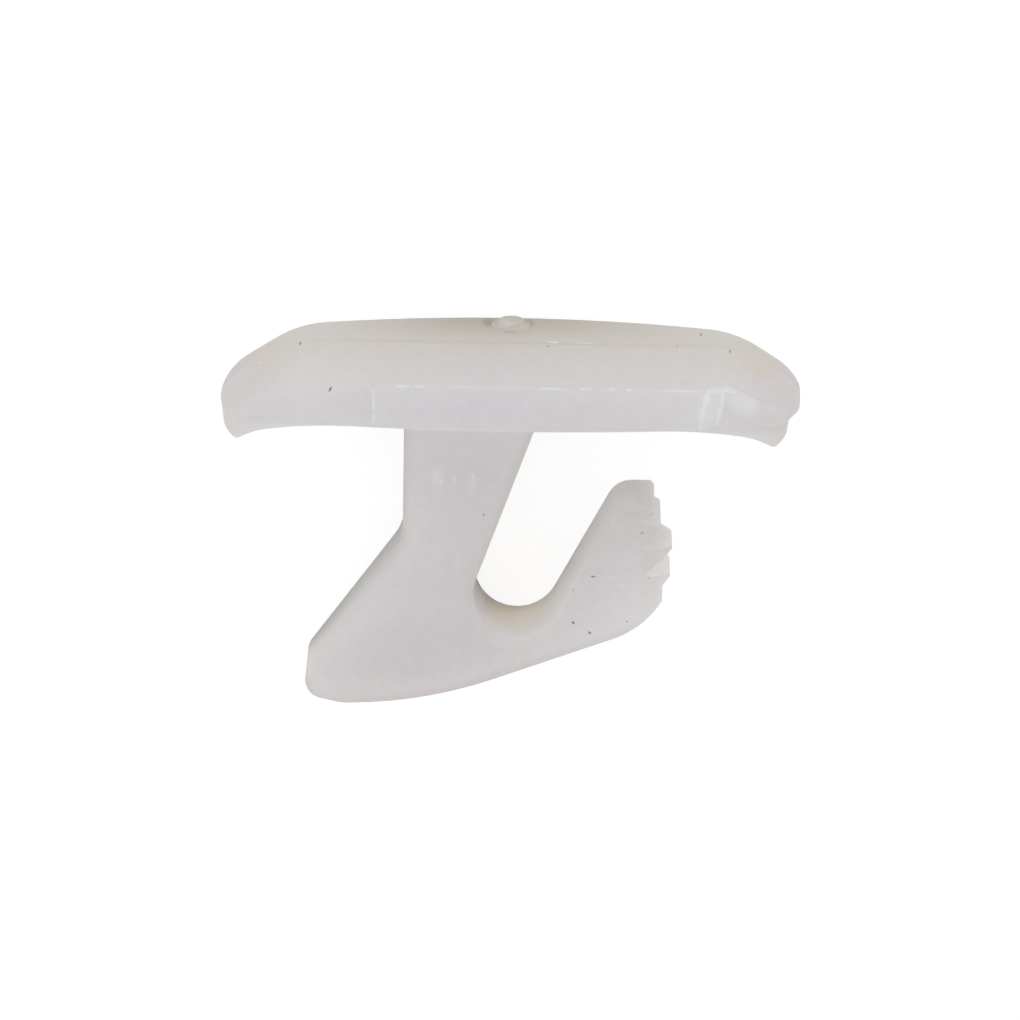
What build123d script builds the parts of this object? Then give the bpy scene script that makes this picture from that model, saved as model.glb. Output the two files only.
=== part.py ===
from build123d import *
from math import asin, atan2, cos, degrees, hypot, radians, sin, sqrt, tan
import os

# Weatherstrip clip, moulded in one piece of natural nylon. All sizes are millimetres.
# It is modelled upright: X along the head, Z up to its top, the front towards -Y, and
# Z = 0 on the line where the head's side wall meets the thinner sole under it.
# At the end it is laid on its back, the way a loose clip comes to rest.

# Head, seen from above: barrelled sides, bowed ends and small corners
head_length = 19.0
head_depth = 9.1
side_radius = 34.0
end_bow = 0.5
corner_radius = 0.6

# Head, seen from the front: a long flat top whose ends droop, then turn down in a nose of
# its own radius at each end; the whole arch sits a little to the right of the middle
head_height = 2.14
crown_drop = 0.11
arch_shift = 0.2
flat_inset = 3.2
droop_radius = 3.0
droop_angle = 30.0
left_nose_inset = 0.7
left_nose_radius = 1.9
right_nose_inset = 0.95
right_nose_radius = 1.8
nose_angle = 80.0

# Bevels from the flat top down to the side walls
bevel_width = 2.5
bevel_drop = 0.72
bevel_round = 0.9

# Raised flat pad on the front wall, with a ramp and a tapered tail at its right end
pad_left = 4.45
pad_right = 6.4
pad_height = 1.41
pad_lift = 0.07
pad_proud = 0.08
pad_corner = 0.15
pad_edge = 0.05
ramp_length = 0.6
ramp_drop = 0.62
ramp_round = 0.45
tail_inset = 0.75
tail_proud = 0.08
tail_corner = 0.6
tail_end_height = 0.44

# Sole under the head, flat round the stem, with a lip at each end
sole_thickness = 0.13
sole_inset = 0.15
sole_shift = 0.13
sole_flat = 5.0
lip_start_inset = 1.8
lip_start_depth = 0.4
lip_inner_inset = 0.8
lip_depth = 0.83
lip_round = 0.25
sole_taper = 7.0

# Scar of the gate on the top, behind the middle
scar_back = 0.95
scar_radius = 0.64
scar_height = 0.12
scar_round = 0.06
stub_radius = 0.42
stub_height = 0.26
stub_round = 0.12

# Stem and foot. What rises is measured up from the foot's lowest line
stem_thickness = 4.7
stem_left = 3.43
waist_depth = 4.8
waist_round = 1.6
toe_reach = 7.02
toe_rise = 0.35
toe_round = 0.62
foot_reach = 5.38
foot_depth = 10.0
foot_radius = 14.5
foot_rise = 20.2
edge_round = 0.5
root_round = 0.2

# Gap between the stem and the sprung leg, open at the top; its floor is what is left below it
stem_lean = 19.9
gap_radius = 1.42
gap_x = 0.33
gap_floor = 2.36

# Sprung leg, with teeth on its outer side, which is rounded to suit the hole
leg_lean = 28.5
leg_top = 3.25
leg_round = 0.85
leg_tip = 4.8
tip_ease = 0.15
heel_start = 3.85
heel_bend = 4.45
heel_bend_rise = 2.85
heel_side = 5.1
heel_side_rise = 3.55
heel_side_top = 5.92
heel_round = 2.2
outer_radius = 2.9
tooth_round = 0.08
# each tooth as the depth and reach of its root, then the depth and reach of its tip
teeth = (
    (3.66, 4.2, 3.88, 5.12),
    (4.54, 4.2, 4.73, 5.56),
    (5.45, 4.35, 5.64, 5.47),
)

half_length = head_length / 2
half_depth = head_depth / 2
flat_half = half_length - flat_inset


def barrel(x):
    """How far the barrelled side has come in at x."""
    return side_radius - sqrt(side_radius**2 - x**2)


# The head's block: arched top and barrelled sides, longer and deeper than the head
block_end = half_length + 1.5
block_bottom = 3.0
shoulder = head_height - crown_drop
droop_end = flat_half + droop_radius * sin(radians(droop_angle))
droop_end_height = shoulder - droop_radius * (1 - cos(radians(droop_angle)))
left_nose_start = half_length - left_nose_inset
left_nose_height = droop_end_height - (left_nose_start - droop_end) * tan(radians(droop_angle))
right_nose_start = half_length - right_nose_inset
right_nose_height = droop_end_height - (right_nose_start - droop_end) * tan(radians(droop_angle))


def is_rim(edge):
    """The long edges of a side wall along the top, without its bottom and end edges."""
    middle = edge.center()
    return middle.Z > 0.1 - block_bottom and abs(middle.X) < block_end - 0.01


arch_plane = Plane.XZ * Pos(arch_shift, 0, 0)
with BuildPart() as head:
    with BuildSketch(arch_plane):
        with BuildLine():
            crown = ThreePointArc((-flat_half, shoulder), (0, head_height), (flat_half, shoulder))
            droop = TangentArc((flat_half, shoulder), (droop_end, droop_end_height), tangent=crown % 1)
            mirror(droop, Plane.YZ)
            right_slope = Line(droop @ 1, (right_nose_start, right_nose_height))
            left_slope = Line((-droop_end, droop_end_height), (-left_nose_start, left_nose_height))
            turn = nose_angle - droop_angle
            right_nose = JernArc(right_slope @ 1, right_slope % 1, right_nose_radius, -turn)
            left_nose = JernArc(left_slope @ 1, left_slope % 1, left_nose_radius, turn)
            right_x = (right_nose @ 1).X + (block_bottom + (right_nose @ 1).Y) / tan(radians(nose_angle))
            left_x = (left_nose @ 1).X - (block_bottom + (left_nose @ 1).Y) / tan(radians(nose_angle))
            Polyline(right_nose @ 1, (right_x, -block_bottom), (left_x, -block_bottom), left_nose @ 1)
        make_face()
    extrude(amount=head_depth, both=True)
    with BuildSketch(Plane.XY.offset(-block_bottom)):
        with BuildLine():
            side_y = half_depth - barrel(block_end)
            side = ThreePointArc((-block_end, -side_y), (0, -half_depth), (block_end, -side_y))
            mirror(side, Plane.XZ)
            Line(side @ 0, (-block_end, side_y))
            Line(side @ 1, (block_end, side_y))
        make_face()
    extrude(amount=block_bottom + 2 * head_height, mode=Mode.INTERSECT)

    # bevel the top of each side wall, then round it over into the wall
    for end_of_row in (0, -1):
        wall = head.faces().filter_by(GeomType.CYLINDER).sort_by(Axis.Y)[end_of_row]
        chamfer(wall.edges().filter_by(is_rim), length=bevel_drop, length2=bevel_width, reference=wall)
    for end_of_row in (0, -1):
        wall = head.faces().filter_by(GeomType.CYLINDER).sort_by(Axis.Y)[end_of_row]
        fillet(wall.edges().filter_by(is_rim), bevel_round)

corner_x = half_length - end_bow


def draw_plan(inset):
    """The head's plan, with bowed ends and rounded corners, drawn in by inset all round."""
    end_x = half_length - inset
    side_y = half_depth - inset
    turn_x = corner_x - inset
    turn_y = side_y - barrel(corner_x)
    with BuildSketch(Plane.XY) as outline:
        with BuildLine():
            side = ThreePointArc((-turn_x, -turn_y), (0, -side_y), (turn_x, -turn_y))
            end = ThreePointArc((turn_x, -turn_y), (end_x, 0), (turn_x, turn_y))
            mirror(side, Plane.XZ)
            mirror(end, Plane.YZ)
        make_face()
        fillet(vertices(), corner_radius)
    return outline.sketch


# Top: the block cut to the plan, down to the line above the sole
with BuildPart() as top:
    extrude(draw_plan(0), amount=2 * head_height)
    add(head.part, mode=Mode.INTERSECT)

# Sole: its side leans in all round, and its underside curls down into the lips
lip_start = half_length - lip_start_inset
lip_inner = half_length - lip_inner_inset
with BuildPart() as sole:
    with BuildSketch(Plane.XY):
        add(Pos(-sole_shift, 0) * draw_plan(sole_inset))
    with BuildSketch(Plane.XY.offset(-lip_depth)):
        add(Pos(-sole_shift, 0) * draw_plan(sole_inset + lip_depth * tan(radians(sole_taper))))
    loft(ruled=True)
    add(head.part, mode=Mode.INTERSECT)
    with BuildSketch(Plane.XZ * Pos(-sole_shift, 0, 0)):
        with BuildLine():
            Line((-sole_flat, -sole_thickness), (sole_flat, -sole_thickness))
            ease = TangentArc((sole_flat, -sole_thickness), (lip_start, -lip_start_depth), tangent=(1, 0))
            curl = TangentArc(ease @ 1, (lip_inner, -lip_depth), tangent=ease % 1)
            lip = Polyline(curl @ 1, (head_length, -lip_depth), (head_length, 0))
            mirror(ease, Plane.YZ)
            mirror(curl, Plane.YZ)
            mirror(lip, Plane.YZ)
            Line((-head_length, 0), (head_length, 0))
        make_face()
    extrude(amount=head_depth, both=True, mode=Mode.INTERSECT)
    tips = sole.edges().filter_by(Axis.Y).group_by(Axis.Z)[0]
    fillet(tips, lip_round)

# Pad, ramp and tail: their outline on the front wall, cut to their plan
front = -(half_depth + pad_proud)
ramp_end = pad_right + ramp_length
tail_end = half_length - tail_inset
tail_y = -(half_depth - barrel(tail_end) + tail_proud)
with BuildPart() as pad:
    with BuildSketch(Plane.XZ.offset(half_depth / 2)):
        with BuildLine():
            Polyline(
                (-pad_left, pad_lift),
                (-pad_left, pad_height),
                (ramp_end, pad_height),
                (tail_end, tail_end_height),
                (tail_end, pad_lift),
                close=True,
            )
        make_face()
        fillet(vertices().sort_by_distance((-pad_left, pad_height))[0], pad_corner)
        fillet(vertices().sort_by_distance((ramp_end, pad_height))[0], tail_corner)
    extrude(amount=half_depth)
    with BuildSketch(Plane.XY):
        with BuildLine():
            Polyline(
                (-pad_left, front),
                (pad_right, front),
                (ramp_end, front + ramp_drop),
                (tail_end, tail_y),
                (tail_end, 0),
                (-pad_left, 0),
                close=True,
            )
        make_face()
        fillet(vertices().sort_by_distance((pad_right, front))[0], ramp_round)
        fillet(vertices().sort_by_distance((ramp_end, front + ramp_drop))[0], ramp_round)
    extrude(amount=head_height, mode=Mode.INTERSECT)
    rim = pad.edges().filter_by(Axis.Y, reverse=True)
    rim = rim.filter_by(lambda edge: edge.center().Y < -0.51 * half_depth)
    sides = rim.filter_by(Axis.Z)
    fillet(rim - sides + sides.sort_by(Axis.X)[:1], pad_edge)

# Stem, foot and sprung leg, as one outline seen from the front; the stem reaches up
# into the head
overlap = 0.6
reach = max(tooth[3] for tooth in teeth)
toe_depth = foot_depth - toe_rise
gap_depth = foot_depth - gap_floor - gap_radius
foot_end = foot_radius * sin(radians(foot_rise)) - foot_reach
foot_end_depth = foot_depth - foot_radius * (1 - cos(radians(foot_rise)))
heel_depth = foot_end_depth - (heel_start - foot_end) * tan(radians(foot_rise))
heel_bend_depth = foot_depth - heel_bend_rise
heel_side_depth = foot_depth - heel_side_rise
heel_slope = (heel_bend_depth - heel_side_depth) / (heel_side - heel_bend)
heel_out_depth = heel_side_depth - (reach - heel_side) * heel_slope
with BuildPart() as stem:
    with BuildSketch(Plane.XZ):
        with BuildLine():
            gap = CenterArc((gap_x, -gap_depth), gap_radius, 180 - stem_lean, 180 + stem_lean - leg_lean)
            stem_right = (gap @ 0).X + (overlap - (gap @ 0).Y) * tan(radians(stem_lean))
            leg_left = (gap @ 1).X - (leg_top + (gap @ 1).Y) * tan(radians(leg_lean))
            Line(gap @ 0, (stem_right, overlap))
            Line(gap @ 1, (leg_left, -leg_top))
            TangentArc((-foot_reach, -foot_depth), (foot_end, -foot_end_depth), tangent=(1, 0))
            Polyline(
                (stem_right, overlap),
                (-stem_left, overlap),
                (-stem_left, -waist_depth),
                (-toe_reach, -toe_depth),
                (-foot_reach, -foot_depth),
            )
            Polyline(
                (foot_end, -foot_end_depth),
                (heel_start, -heel_depth),
                (heel_bend, -heel_bend_depth),
                (reach, -heel_out_depth),
                (reach, -leg_top),
                (leg_left, -leg_top),
            )
        make_face()
        fillet(vertices().sort_by_distance((-stem_left, -waist_depth))[0], waist_round)
        fillet(vertices().sort_by_distance((-toe_reach, -toe_depth))[0], toe_round)
        fillet(vertices().sort_by_distance((leg_left, -leg_top))[0], leg_round)
        fillet(vertices().sort_by_distance((-foot_reach, -foot_depth))[0], heel_round)
        fillet(vertices().sort_by_distance((heel_start, -heel_depth))[0], heel_round)
        fillet(vertices().sort_by_distance((heel_bend, -heel_bend_depth))[0], heel_round)
    extrude(amount=stem_thickness / 2, both=True)

    # ease the edges of both flat flanks, then round the leg's outer side to the hole
    flanks = stem.faces().filter_by(Axis.Y)
    rims = flanks.edges().filter_by(lambda edge: edge.center().X < reach - 0.01)
    fillet(rims.filter_by(lambda edge: edge.center().Z < 0.99 * overlap), edge_round)
    with BuildSketch(Plane.XY.offset(-foot_depth - 1)):
        with Locations((reach - outer_radius, 0)):
            Circle(outer_radius)
            Rectangle(2 * toe_reach, 2 * outer_radius, align=(Align.MAX, Align.CENTER))
    extrude(amount=foot_depth + 2, mode=Mode.INTERSECT)

    # cut the teeth
    with BuildSketch(Plane.XZ):
        with BuildLine():
            tip = leg_tip - tip_ease
            profile = [(tip, 1 - leg_top), (tip, -leg_top), (leg_tip, -leg_top - tip_ease)]
            for root_depth, root_reach, tip_depth, tip_reach in teeth:
                profile += [(root_reach, -root_depth), (tip_reach, -tip_depth)]
            profile += [(heel_side, -heel_side_top), (heel_side, -foot_depth)]
            profile += [(2 * reach, -foot_depth), (2 * reach, 1 - leg_top)]
            Polyline(*profile, close=True)
        make_face()
        for root_depth, root_reach, tip_depth, tip_reach in teeth:
            fillet(vertices().sort_by_distance((tip_reach, -tip_depth))[0], tooth_round)
            fillet(vertices().sort_by_distance((root_reach, -root_depth))[0], tooth_round)
    extrude(amount=stem_thickness, both=True, mode=Mode.SUBTRACT)

# Everything in one piece, with the scar of the gate on top
with BuildPart() as clip:
    add(top.part)
    add(pad.part)
    add(sole.part)
    add(stem.part)
    with BuildSketch(Plane.XY.offset(head_height / 2)):
        with Locations((0, scar_back)):
            Circle(scar_radius)
    extrude(amount=head_height / 2 + scar_height)
    with BuildSketch(Plane.XY.offset(head_height / 2)):
        with Locations((0, scar_back)):
            Circle(stub_radius)
    extrude(amount=head_height / 2 + stub_height)

    # soften the scar and the root of the stem
    scar = clip.faces().filter_by(Axis.Z).sort_by(Axis.Z)[-2:]
    fillet(scar[1].edges(), stub_round)
    scar = clip.faces().filter_by(Axis.Z).sort_by(Axis.Z)[-2:]
    fillet(scar[0].edges().sort_by(Edge.length)[-1:], scar_round)
    root = clip.edges().filter_by(lambda edge: abs(edge.center().Z + sole_thickness) < 0.001)
    root = [edge for edge in root if abs(edge.center().X) < stem_left + 0.01]
    root = [edge for edge in root if abs(edge.center().Y) < stem_thickness / 2 + 0.01]
    fillet(root, root_round)

# Lay it on its back: it rests on the back of the foot's edge and the rim of the head
centre_y = stem_thickness / 2 - edge_round
centre_depth = foot_depth - edge_round
lean = atan2(half_depth - centre_y, centre_depth)
tilt = lean - asin(edge_round / hypot(half_depth - centre_y, centre_depth))
lying = Rot(X=degrees(tilt) - 90) * clip.part
box = lying.bounding_box()
with BuildPart() as weatherstrip_clip:
    add(Pos(-box.center().X, -box.center().Y, -box.min.Z) * lying)

weatherstrip_clip.part.label = "weatherstrip_clip"
os.makedirs("parts", exist_ok=True)
export_step(weatherstrip_clip.part, "parts/weatherstrip_clip.step")
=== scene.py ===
import math

import bpy
from mathutils import Matrix, Vector

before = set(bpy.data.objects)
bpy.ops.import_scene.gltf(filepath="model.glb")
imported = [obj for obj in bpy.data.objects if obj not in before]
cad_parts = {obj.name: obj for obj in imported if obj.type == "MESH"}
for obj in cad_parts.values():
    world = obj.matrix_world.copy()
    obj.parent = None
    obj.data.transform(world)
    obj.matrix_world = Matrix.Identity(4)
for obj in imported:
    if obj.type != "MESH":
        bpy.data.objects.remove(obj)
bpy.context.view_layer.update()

print("frame loaded")

# the camera looks almost straight down, from a little beyond the head's top
cameraView = {
    "place": (0.0010035, 0.0079567, 0.3044032),
    "target": (0.0000512, 0.0000312, 0.0044860),
    "up": (-0.0173, 0.99975, -0.0139),
    "lens": 323.1,
    "sensor": 36.0,
    "clip": (0.01, 10.0),
}

# even light from all round, and a table that the camera sees as nearly white
studio = {
    "worldStrength": 0.73,
    "worldColor": (1.0, 0.995, 0.99),
    "tableSize": 3.0,
    "tableColor": (0.90, 0.90, 0.90),
    "tableSeen": (0.30, 0.30, 0.305),
    "tableLift": 0.84,
}

# three dim panels for a soft sheen. name: place, size in metres, power in watts, colour
lamps = {
    "panelTop": ((0.0, 0.30, 0.35), (0.30, 0.12), 0.05, (1.0, 1.0, 1.0)),
    "panelRight": ((0.34, -0.05, 0.30), (0.10, 0.30), 0.05, (1.0, 0.99, 1.0)),
    "panelLeft": ((-0.42, -0.02, 0.22), (0.08, 0.30), 0.04, (1.0, 0.99, 1.0)),
}


def makeCamera():
    data = bpy.data.cameras.new("camera")
    data.lens = cameraView["lens"]
    data.sensor_width = cameraView["sensor"]
    data.clip_start, data.clip_end = cameraView["clip"]
    cam = bpy.data.objects.new("camera", data)
    bpy.context.scene.collection.objects.link(cam)
    # local Z points back from the target, local Y is up in the picture
    place = Vector(cameraView["place"])
    back = (place - Vector(cameraView["target"])).normalized()
    side = Vector(cameraView["up"]).cross(back).normalized()
    up = back.cross(side)
    turn = Matrix((side, up, back)).transposed().to_4x4()
    cam.matrix_world = Matrix.Translation(place) @ turn
    bpy.context.scene.camera = cam
    print("camera made")


def makeWorld():
    world = bpy.data.worlds.new("softRoom")
    bpy.context.scene.world = world
    world.use_nodes = True
    nodes = world.node_tree.nodes
    links = world.node_tree.links
    nodes.clear()
    out = nodes.new("ShaderNodeOutputWorld")
    light = nodes.new("ShaderNodeBackground")
    light.inputs["Color"].default_value = (*studio["worldColor"], 1.0)
    light.inputs["Strength"].default_value = studio["worldStrength"]
    white = nodes.new("ShaderNodeBackground")
    white.inputs["Color"].default_value = (1.0, 1.0, 1.0, 1.0)
    white.inputs["Strength"].default_value = 1.0
    path = nodes.new("ShaderNodeLightPath")
    mix = nodes.new("ShaderNodeMixShader")
    links.new(path.outputs["Is Camera Ray"], mix.inputs["Fac"])
    links.new(light.outputs["Background"], mix.inputs[1])
    links.new(white.outputs["Background"], mix.inputs[2])
    links.new(mix.outputs["Shader"], out.inputs["Surface"])
    print("world made")


def paleTableMaterial():
    mat = bpy.data.materials.new("paleTable")
    mat.use_nodes = True
    nodes = mat.node_tree.nodes
    links = mat.node_tree.links
    nodes.clear()
    out = nodes.new("ShaderNodeOutputMaterial")
    # the camera sees the table lighter than it is, so that it is white but keeps a soft shadow
    path = nodes.new("ShaderNodeLightPath")
    tint = nodes.new("ShaderNodeMix")
    tint.data_type = "RGBA"
    tint.inputs[6].default_value = (*studio["tableColor"], 1.0)
    tint.inputs[7].default_value = (*studio["tableSeen"], 1.0)
    links.new(path.outputs["Is Camera Ray"], tint.inputs["Factor"])
    paper = nodes.new("ShaderNodeBsdfDiffuse")
    links.new(tint.outputs[2], paper.inputs["Color"])
    lift = nodes.new("ShaderNodeEmission")
    lift.inputs["Color"].default_value = (1.0, 1.0, 1.0, 1.0)
    amount = nodes.new("ShaderNodeMath")
    amount.operation = "MULTIPLY"
    amount.inputs[1].default_value = studio["tableLift"]
    links.new(path.outputs["Is Camera Ray"], amount.inputs[0])
    links.new(amount.outputs["Value"], lift.inputs["Strength"])
    add = nodes.new("ShaderNodeAddShader")
    links.new(paper.outputs["BSDF"], add.inputs[0])
    links.new(lift.outputs["Emission"], add.inputs[1])
    # from underneath the table can be looked through
    clear = nodes.new("ShaderNodeBsdfTransparent")
    side = nodes.new("ShaderNodeNewGeometry")
    mix = nodes.new("ShaderNodeMixShader")
    links.new(side.outputs["Backfacing"], mix.inputs["Fac"])
    links.new(add.outputs["Shader"], mix.inputs[1])
    links.new(clear.outputs["BSDF"], mix.inputs[2])
    links.new(mix.outputs["Shader"], out.inputs["Surface"])
    return mat


def makeTable():
    bpy.ops.object.select_all(action="DESELECT")
    bpy.ops.mesh.primitive_plane_add(size=studio["tableSize"], location=(0, 0, 0))
    table = bpy.context.object
    table.name = "table"
    table.data.materials.append(paleTableMaterial())
    print("table made")


def makeLamps():
    for name, (place, size, power, color) in lamps.items():
        data = bpy.data.lights.new(name, "AREA")
        data.shape = "RECTANGLE"
        data.size, data.size_y = size
        data.energy = power
        data.color = color
        lamp = bpy.data.objects.new(name, data)
        bpy.context.scene.collection.objects.link(lamp)
        lamp.location = place
        lamp.rotation_euler = (-Vector(place)).to_track_quat("-Z", "Y").to_euler()
    print("lamps made")


# the clip's own axes: x along the head, y from its front to its back, z up to its top, in
# millimetres from the middle of the wall's bottom line. The clip lies on its back
clipAxes = {
    "tilt": math.radians(90 - 12.9638),
    "shift": (0.0136, 3.4743, -4.6728),
    "perMetre": 1000.0,
}

# natural nylon: milky and cool in front; painted shade makes it warm and darker towards its edges, and
# painted light makes walls that face up paler, to cancel their shade
nylon = {
    "frontTone": (0.655, 0.632, 0.678),
    "shadedEdgeTone": (0.630, 0.590, 0.500),
    "litEdgeTone": (0.800, 0.770, 0.780),
    "litWallTone": (0.930, 0.900, 0.870),
    "wallDepth": (-2.2, -0.8),
    "litFarTone": (0.900, 0.840, 0.730),
    "farDepth": (0.0, 2.3),
    "openUp": (0.0, 0.35),
    "subsurfaceRadius": (1.0, 0.93, 0.86),
    "subsurfaceScale": 0.012,
    "roughness": 0.36,
    "roughnessSpread": 0.05,
    "ior": 1.53,
}

# painted light in the gap between stem and leg: its walls and floor are lighter, to cancel their shade, and
# the floor is brown far back; its middle line leans
gapLight = {
    "frontTone": (0.99, 0.965, 0.91),
    "backTone": (1.0, 0.91, 0.62),
    "x": 0.33,
    "z": -6.22,
    "lean": 0.449,
    "radius": 1.42,
    "depth": (-2.35, 2.35),
    "floorUp": (0.3, 0.95),
    "sheltered": (-2.35, -1.3),
    "inward": (0.1, 1.0),
}

# painted glow: the material gives off faint light at the walls of the gap and the thin leg, standing in for
# light that comes through the leg
paintedGlow = {
    "leg": (0.060, 0.058, 0.068),
    "legSide": (0.0, 1.2),
    "legHeight": (-8.6, -7.0),
    "legTop": (-1.2, -2.2),
    "legDepth": (-2.35, -1.8),
    "gapFront": (0.016, 0.006, 0.004),
    "gapBack": (0.052, 0.015, 0.0),
}

# painted light: stem, foot and leg are a little paler than the head, most of all right under it, where its
# shade falls, and at the teeth, lighter to cancel the shade on their sides
stemLight = {
    "pale": (0.715, 0.692, 0.728),
    "paleHeight": (-0.1, -0.6),
    "neck": (0.800, 0.775, 0.810),
    "neckHeight": (-2.4, -0.3),
    "teeth": (0.850, 0.805, 0.745),
    "teethTop": (0.725, 0.680, 0.615),
    "teethFrom": (3.9, 4.5),
}

# the head: its bevel is nearly as cool as its front; painted shade makes its top beige and darker, with a
# darker middle
headTone = {
    "bevel": (0.695, 0.660, 0.665),
    "bevelFrom": (-4.6, -4.0),
    "bevelHeight": (0.9, 1.4),
    "top": (0.680, 0.630, 0.585),
    "topFrom": (-3.0, -1.3),
    "shade": (0.490, 0.430, 0.365),
    "shadeWidth": (6.5, 0.5),
    "shadeDepth": (-1.5, 3.0),
    "side": (0.655, 0.625, 0.660),
    "sideHeight": (-0.4, 0.0),
}

# painted shade: the thin ends of the head and the bottom of the foot are made darker
endAndFootShade = {
    "end": (0.903, 0.863, 0.845),
    "endWidth": (6.6, 9.2),
    "endHeight": (-1.5, -0.5),
    "foot": (0.86, 0.815, 0.80),
    "footHeight": (-6.0, -9.8),
}

# painted shade: the thin sole under the head is tan and darker along its edge, where it lies back under the
# head
soleShade = {
    "edge": (0.610, 0.565, 0.500),
    "front": (-2.7, -3.3),
    "height": (0.10, -0.15),
    "reach": (7.4, 5.5),
}

# painted shade: a faint dark line along the crease where the bevel meets the top, following the barrelled
# side
creaseShade = {
    "y": -1.52,
    "bow": 1 / 80,
    "half": 0.34,
    "reach": (7.8, 6.8),
    "height": (1.6, 1.75),
    "tone": (0.86, 0.85, 0.85),
    "strength": 0.45,
}

# clouds and mottle in the colour, soft waves in the skin, all sizes in millimetres
skin = {
    "cloudSize": 3.1,
    "cloudDepth": 0.03,
    "mottleSize": 0.30,
    "mottleDepth": 0.045,
    "waveSize": 0.9,
    "waveHeight": 0.010,
}

# dark specks in the milk: centre, half sizes, turn to the right in degrees, strength
specks = (
    ((-5.80, -3.94, 1.08), (0.040, 0.3, 0.125), 27, 0.95),
    ((-6.86, -1.15, 1.92), (0.060, 0.30, 0.2), 0, 0.70),
    ((6.22, 0.56, 2.04), (0.060, 0.30, 0.2), 0, 0.65),
    ((7.15, -1.25, 1.91), (0.055, 0.22, 0.2), 0, 0.55),
    ((5.43, -1.33, 2.06), (0.045, 0.22, 0.2), 0, 0.40),
    ((1.22, -1.88, 2.14), (0.110, 0.16, 0.2), 0, 0.40),
    ((-0.79, -2.35, -3.43), (0.050, 0.2, 0.055), 0, 0.60),
    ((4.39, -2.30, -3.96), (0.070, 0.2, 0.070), 0, 0.45),
    ((2.82, -2.34, -5.46), (0.115, 0.2, 0.040), 8, 0.75),
    ((2.30, -2.10, -5.10), (0.055, 0.2, 0.055), 0, 0.35),
    ((2.17, -2.12, -5.97), (0.045, 0.2, 0.040), 0, 0.35),
    ((2.20, -2.35, -7.03), (0.085, 0.2, 0.055), 42, 0.85),
    ((2.74, -2.35, -7.36), (0.080, 0.2, 0.060), 30, 0.85),
    ((3.95, -2.34, -6.96), (0.055, 0.2, 0.050), 0, 0.60),
    ((4.66, -2.10, -5.55), (0.050, 0.2, 0.050), 0, 0.30),
    ((2.48, -2.35, -7.20), (0.270, 0.2, 0.025), 31, 0.12),
)

# painted shade, brown, round the scar of the gate
shades = (
    ((-0.72, 1.45, 2.14), (0.32, 0.90, 0.3), 0, 0.65),
    ((0.52, 1.35, 2.17), (0.32, 0.70, 0.3), 0, 0.60),
    ((-0.05, 0.00, 2.14), (0.30, 0.16, 0.3), 0, 0.35),
    ((0.00, 0.95, 2.20), (0.85, 0.85, 0.12), 0, 0.12),
)

# painted highlights, as whitened places: edges of the pad, folds of its ramp, the crest of the top, the
# gate's scar, glints on the stem and a pale patch on the leg; and two light scratches on the leg
highlightsAndScratches = (
    ((-4.39, -4.63, 0.85), (0.075, 0.2, 0.60), 0, 0.50),
    ((-4.38, -4.63, 0.30), (0.085, 0.2, 0.27), 0, 0.85),
    ((-0.40, -4.63, 1.40), (4.200, 0.2, 0.07), 0, 0.10),
    ((-3.46, -4.63, 1.40), (0.300, 0.2, 0.08), 0, 0.60),
    ((-2.90, -4.63, 1.40), (0.300, 0.2, 0.07), 0, 0.45),
    ((1.30, -4.63, 1.40), (0.480, 0.2, 0.08), 0, 0.60),
    ((2.42, -4.63, 1.40), (0.280, 0.2, 0.07), 0, 0.40),
    ((3.32, -4.63, 1.40), (0.220, 0.2, 0.07), 0, 0.40),
    ((3.86, -4.63, 1.40), (0.130, 0.2, 0.08), 0, 0.60),
    ((5.60, -4.63, 1.40), (0.900, 0.2, 0.08), 0, 0.50),
    ((6.36, -4.60, 1.12), (0.150, 0.3, 0.48), 12, 0.90),
    ((6.22, -4.63, 0.55), (0.135, 0.3, 0.55), 8, 1.00),
    ((6.88, -4.17, 1.10), (0.140, 0.3, 0.48), 5, 0.90),
    ((6.78, -4.25, 0.52), (0.120, 0.3, 0.55), 10, 1.00),
    ((6.60, -4.35, 1.34), (0.420, 0.4, 0.12), 0, 0.55),
    ((6.50, -4.40, 0.80), (0.700, 0.5, 0.80), 10, 0.25),
    ((7.12, -3.98, 1.28), (0.420, 0.3, 0.12), 17, 0.60),
    ((7.75, -3.70, 1.00), (0.600, 0.3, 0.12), 29, 0.30),
    ((7.60, -3.95, 0.80), (0.750, 0.6, 0.50), 25, 0.33),
    ((1.40, -1.30, 2.14), (0.220, 0.16, 0.2), 0, 0.75),
    ((2.42, -1.26, 2.12), (0.420, 0.12, 0.2), 0, 0.40),
    ((-0.20, 0.62, 2.30), (0.330, 0.42, 0.2), 0, 0.22),
    ((-8.19, -1.15, 1.25), (0.060, 0.12, 0.06), 0, 0.35),
    ((-2.30, -2.35, -2.20), (0.300, 0.3, 0.60), 0, 0.20),
    ((-2.36, -2.35, -2.05), (0.080, 0.3, 0.10), 0, 0.50),
    ((-2.20, -2.35, -2.33), (0.090, 0.3, 0.08), 0, 0.48),
    ((-1.77, -2.35, -2.26), (0.080, 0.3, 0.20), 0, 0.28),
    ((-1.20, -2.35, -2.35), (0.200, 0.3, 0.50), 0, 0.20),
    ((-1.16, -2.35, -2.12), (0.070, 0.3, 0.12), 0, 0.42),
    ((-1.22, -2.35, -2.71), (0.060, 0.2, 0.05), 0, 0.50),
    ((3.62, -2.35, -3.55), (0.500, 0.5, 0.45), 0, 0.16),
    ((3.75, -2.35, -5.74), (0.180, 0.2, 0.05), 55, 0.35),
    ((3.40, -2.35, -5.48), (0.330, 0.2, 0.05), 6, 0.15),
)

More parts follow.
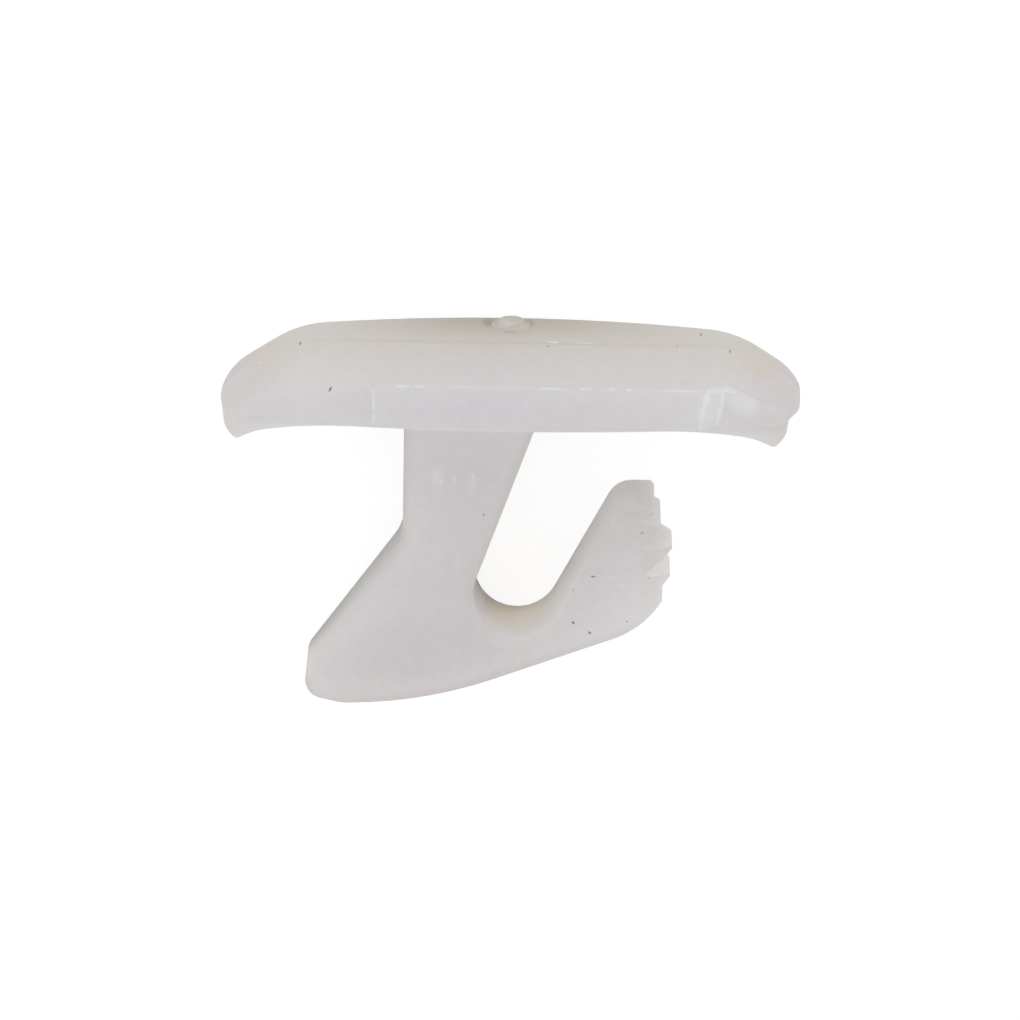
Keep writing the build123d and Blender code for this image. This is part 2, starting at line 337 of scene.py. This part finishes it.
# what a mark does to the milk: its colour, how soft its rim is and how much noise frays it
markTones = {
    "speck": (0.085, 0.070, 0.065),
    "shade": (0.300, 0.250, 0.200),
    "highlight": (0.980, 0.975, 0.985),
    "rim": (1.0, 0.35),
    "fray": 0.05,
    "fraySize": 0.12,
}


def feed(tree, socket, value):
    # a socket takes a number, a colour or the output of another node
    if isinstance(value, bpy.types.NodeSocket):
        tree.links.new(value, socket)
    else:
        socket.default_value = value


def calc(tree, operation, first, second=0.0):
    node = tree.nodes.new("ShaderNodeMath")
    node.operation = operation
    feed(tree, node.inputs[0], first)
    feed(tree, node.inputs[1], second)
    return node.outputs["Value"]


def times(tree, *values):
    result = values[0]
    for value in values[1:]:
        result = calc(tree, "MULTIPLY", result, value)
    return result


def smooth(tree, value, span):
    # 0 at the first end of the span, 1 at the second
    node = tree.nodes.new("ShaderNodeMapRange")
    node.interpolation_type = "SMOOTHSTEP"
    feed(tree, node.inputs["Value"], value)
    feed(tree, node.inputs["From Min"], span[0])
    feed(tree, node.inputs["From Max"], span[1])
    return node.outputs["Result"]


def vector(tree, operation, first, second=None, output="Vector"):
    node = tree.nodes.new("ShaderNodeVectorMath")
    node.operation = operation
    feed(tree, node.inputs[0], first)
    if second is not None:
        feed(tree, node.inputs["Scale" if operation == "SCALE" else 1], second)
    return node.outputs[output]


def blend(tree, amount, first, second, way="MIX"):
    node = tree.nodes.new("ShaderNodeMix")
    node.data_type = "RGBA"
    node.blend_type = way
    feed(tree, node.inputs["Factor"], amount)
    for socket, color in ((node.inputs[6], first), (node.inputs[7], second)):
        feed(tree, socket, color if isinstance(color, bpy.types.NodeSocket) else (*color, 1.0))
    return node.outputs[2]


def noise(tree, place, size, detail=2.0, output="Fac"):
    node = tree.nodes.new("ShaderNodeTexNoise")
    feed(tree, node.inputs["Vector"], place)
    node.inputs["Scale"].default_value = 1.0 / size
    node.inputs["Detail"].default_value = detail
    return node.outputs[output]


def sway(tree, value, depth):
    # noise from 0 to 1 becomes a change of at most the depth, up or down
    return times(tree, calc(tree, "SUBTRACT", value, 0.5), 2 * depth)


def split(tree, value):
    node = tree.nodes.new("ShaderNodeSeparateXYZ")
    feed(tree, node.inputs["Vector"], value)
    return node.outputs["X"], node.outputs["Y"], node.outputs["Z"]


def newGroup(name, inputs, outputs):
    kinds = {"v": "NodeSocketVector", "f": "NodeSocketFloat", "c": "NodeSocketColor"}
    tree = bpy.data.node_groups.new(name, "ShaderNodeTree")
    for label, kind in inputs.items():
        tree.interface.new_socket(label, in_out="INPUT", socket_type=kinds[kind])
    for label, kind in outputs.items():
        tree.interface.new_socket(label, in_out="OUTPUT", socket_type=kinds[kind])
    return tree, tree.nodes.new("NodeGroupInput").outputs, tree.nodes.new("NodeGroupOutput").inputs


def useGroup(tree, group, **values):
    node = tree.nodes.new("ShaderNodeGroup")
    node.node_tree = group
    for label, value in values.items():
        feed(tree, node.inputs[label], value)
    return node.outputs


def onClipAxes(tree, coords, socket, kind):
    turn = tree.nodes.new("ShaderNodeMapping")
    turn.vector_type = kind
    turn.inputs["Rotation"].default_value = (clipAxes["tilt"], 0, 0)
    if kind == "POINT":
        turn.inputs["Location"].default_value = clipAxes["shift"]
        turn.inputs["Scale"].default_value = (clipAxes["perMetre"],) * 3
    tree.links.new(coords.outputs[socket], turn.inputs["Vector"])
    return turn.outputs["Vector"]


def ovalGroup():
    # a soft oval mask round a centre, turned about the clip's y axis
    ins = {"Place": "v", "Centre": "v", "Half": "v", "Turn": "f", "Strength": "f"}
    tree, source, sink = newGroup("oval", ins, {"Mask": "f"})
    turn = tree.nodes.new("ShaderNodeVectorRotate")
    turn.rotation_type = "Y_AXIS"
    feed(tree, turn.inputs["Vector"], vector(tree, "SUBTRACT", source["Place"], source["Centre"]))
    feed(tree, turn.inputs["Angle"], source["Turn"])
    scaled = vector(tree, "DIVIDE", turn.outputs["Vector"], source["Half"])
    far = vector(tree, "LENGTH", scaled, output="Value")
    feed(tree, sink["Mask"], times(tree, smooth(tree, far, markTones["rim"]), source["Strength"]))
    return tree


def toneAndPaintedLightGroup():
    # the nylon's tone, with light and shade painted in by facing and place, and a painted glow
    tree, source, sink = newGroup("toneAndPaintedLight", {"Place": "v", "Facing": "v"}, {"Color": "c", "PaintedGlow": "c"})
    x, y, z = split(tree, source["Place"])
    sideways, front, up = split(tree, source["Facing"])
    wide = calc(tree, "ABSOLUTE", x)

    # cool in front; painted shade, warm and darker, where the skin turns down; painted light on walls that
    # face up, lighter to cancel their shade, warm again far back
    warm = calc(tree, "MINIMUM", calc(tree, "MAXIMUM", calc(tree, "ADD", front, 1.0), 0.0), 1.0)
    opened = smooth(tree, up, nylon["openUp"])
    edge = blend(tree, opened, nylon["shadedEdgeTone"], nylon["litEdgeTone"])
    wall = blend(tree, smooth(tree, y, nylon["wallDepth"]), edge, nylon["litWallTone"])
    wall = blend(tree, times(tree, opened, smooth(tree, y, nylon["farDepth"])), wall, nylon["litFarTone"])
    face = blend(tree, smooth(tree, z, stemLight["paleHeight"]), nylon["frontTone"], stemLight["pale"])
    neck = times(tree, smooth(tree, z, stemLight["neckHeight"]), smooth(tree, z, stemLight["paleHeight"]))
    face = blend(tree, neck, face, stemLight["neck"])
    tone = blend(tree, warm, face, wall)

    # painted light on the teeth and outer side of the leg
    outer = times(tree, smooth(tree, x, stemLight["teethFrom"]), smooth(tree, z, paintedGlow["legTop"]), warm)
    tone = blend(tree, outer, tone, blend(tree, opened, stemLight["teeth"], stemLight["teethTop"]))

    # walls and floor of the gap face its middle line; they get painted light, lighter to cancel the gap's
    # shade
    leaning = times(tree, calc(tree, "SUBTRACT", z, gapLight["z"]), gapLight["lean"])
    middle = calc(tree, "ADD", leaning, gapLight["x"])
    across = times(tree, sideways, calc(tree, "SUBTRACT", middle, x))
    upward = times(tree, up, calc(tree, "SUBTRACT", gapLight["z"], z))
    inward = calc(tree, "DIVIDE", calc(tree, "ADD", across, upward), gapLight["radius"])
    inward = times(tree, smooth(tree, inward, gapLight["inward"]), smooth(tree, y, gapLight["sheltered"]))
    floor = smooth(tree, up, gapLight["floorUp"])
    deep = times(tree, smooth(tree, y, gapLight["depth"]), floor)
    tone = blend(tree, inward, tone, blend(tree, deep, gapLight["frontTone"], gapLight["backTone"]))

    # painted glow, standing in for light that comes through the thin leg and out at the gap's walls
    leg = smooth(tree, calc(tree, "SUBTRACT", x, middle), paintedGlow["legSide"])
    leg = times(tree, leg, warm, smooth(tree, z, paintedGlow["legHeight"]), smooth(tree, z, paintedGlow["legTop"]),
                smooth(tree, y, paintedGlow["legDepth"]))
    shine = blend(tree, leg, (0, 0, 0), paintedGlow["leg"])
    under = blend(tree, deep, paintedGlow["gapFront"], paintedGlow["gapBack"])
    feed(tree, sink["PaintedGlow"], blend(tree, times(tree, inward, floor), shine, under))

    # the head's sides and bevel, and the painted shade on its top: beige, with a darker middle
    head = smooth(tree, z, headTone["sideHeight"])
    tone = blend(tree, times(tree, head, warm), tone, headTone["side"])
    bevel = times(tree, smooth(tree, y, headTone["bevelFrom"]), smooth(tree, z, headTone["bevelHeight"]))
    tone = blend(tree, bevel, tone, headTone["bevel"])
    top = times(tree, smooth(tree, y, headTone["topFrom"]), smooth(tree, z, headTone["bevelHeight"]))
    tone = blend(tree, top, tone, headTone["top"])
    shade = times(tree, top, smooth(tree, wide, headTone["shadeWidth"]),
                  smooth(tree, y, headTone["shadeDepth"]))
    tone = blend(tree, shade, tone, headTone["shade"])

    # painted shade on the sole's edge, the thin ends and the foot
    sole = times(tree, smooth(tree, y, soleShade["front"]), smooth(tree, z, soleShade["height"]),
                 smooth(tree, wide, soleShade["reach"]))
    tone = blend(tree, sole, tone, soleShade["edge"])
    ends = times(tree, smooth(tree, wide, endAndFootShade["endWidth"]), smooth(tree, z, endAndFootShade["endHeight"]))
    tone = blend(tree, ends, tone, endAndFootShade["end"], "MULTIPLY")
    tone = blend(tree, smooth(tree, z, endAndFootShade["footHeight"]), tone, endAndFootShade["foot"], "MULTIPLY")

    # painted shade along the crease at the front of the top
    bowed = calc(tree, "SUBTRACT", calc(tree, "SUBTRACT", y, creaseShade["y"]), times(tree, x, x, creaseShade["bow"]))
    line = smooth(tree, calc(tree, "ABSOLUTE", bowed), (creaseShade["half"], 0.0))
    line = times(tree, line, smooth(tree, wide, creaseShade["reach"]), smooth(tree, z, creaseShade["height"]),
                 creaseShade["strength"])
    feed(tree, sink["Color"], blend(tree, line, tone, creaseShade["tone"], "MULTIPLY"))
    return tree


def addMarks(tree, group, place, marks, tone, color):
    total = 0.0
    for centre, half, turn, strength in marks:
        mask = useGroup(tree, group, Place=place, Centre=centre, Half=half, Turn=math.radians(-turn),
                        Strength=strength)["Mask"]
        total = calc(tree, "MAXIMUM", total, mask)
    return blend(tree, total, tone, color)


def nylonMaterial():
    mat = bpy.data.materials.new("naturalNylon")
    mat.use_nodes = True
    tree = mat.node_tree
    shader = tree.nodes["Principled BSDF"].inputs
    coords = tree.nodes.new("ShaderNodeTexCoord")
    place = onClipAxes(tree, coords, "Object", "POINT")
    facing = onClipAxes(tree, coords, "Normal", "VECTOR")
    body = useGroup(tree, toneAndPaintedLightGroup(), Place=place, Facing=facing)
    tone = body["Color"]
    # the painted glow goes into the emission, so these walls give off light
    feed(tree, shader["Emission Color"], body["PaintedGlow"])
    shader["Emission Strength"].default_value = 1.0
    mat.cycles.emission_sampling = "NONE"

    # broad clouds and a fine mottle
    cloud = sway(tree, noise(tree, place, skin["cloudSize"]), skin["cloudDepth"])
    mottle = sway(tree, noise(tree, place, skin["mottleSize"], 1.0), skin["mottleDepth"])
    level = calc(tree, "ADD", calc(tree, "ADD", cloud, mottle), 1.0)
    tone = vector(tree, "SCALE", tone, level)

    # marks, with outlines frayed by noise
    fray = noise(tree, place, markTones["fraySize"], 1.0, "Color")
    fray = vector(tree, "SCALE", vector(tree, "SUBTRACT", fray, (0.5, 0.5, 0.5)), 2 * markTones["fray"])
    frayed = vector(tree, "ADD", place, fray)
    group = ovalGroup()
    tone = addMarks(tree, group, frayed, shades, tone, markTones["shade"])
    # painted highlights, and two light scratches, in near-white
    tone = addMarks(tree, group, frayed, highlightsAndScratches, tone, markTones["highlight"])
    tone = addMarks(tree, group, place, specks, tone, markTones["speck"])
    feed(tree, shader["Base Color"], tone)

    # satin skin with soft waves
    wave = noise(tree, place, skin["waveSize"], 1.0)
    spread = sway(tree, wave, nylon["roughnessSpread"])
    feed(tree, shader["Roughness"], calc(tree, "ADD", spread, nylon["roughness"]))
    bump = tree.nodes.new("ShaderNodeBump")
    bump.inputs["Distance"].default_value = 1.0 / clipAxes["perMetre"]
    feed(tree, bump.inputs["Height"], times(tree, wave, skin["waveHeight"]))
    feed(tree, shader["Normal"], bump.outputs["Normal"])

    shader["IOR"].default_value = nylon["ior"]
    shader["Subsurface Weight"].default_value = 1.0
    shader["Subsurface Radius"].default_value = nylon["subsurfaceRadius"]
    shader["Subsurface Scale"].default_value = nylon["subsurfaceScale"]
    print("nylon made")
    return mat


def dressClip():
    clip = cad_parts["weatherstrip_clip"]
    clip.data.materials.clear()
    clip.data.materials.append(nylonMaterial())
    print("clip dressed")


bpy.context.scene.view_settings.view_transform = "Standard"
makeCamera()
makeWorld()
makeTable()
makeLamps()
dressClip()
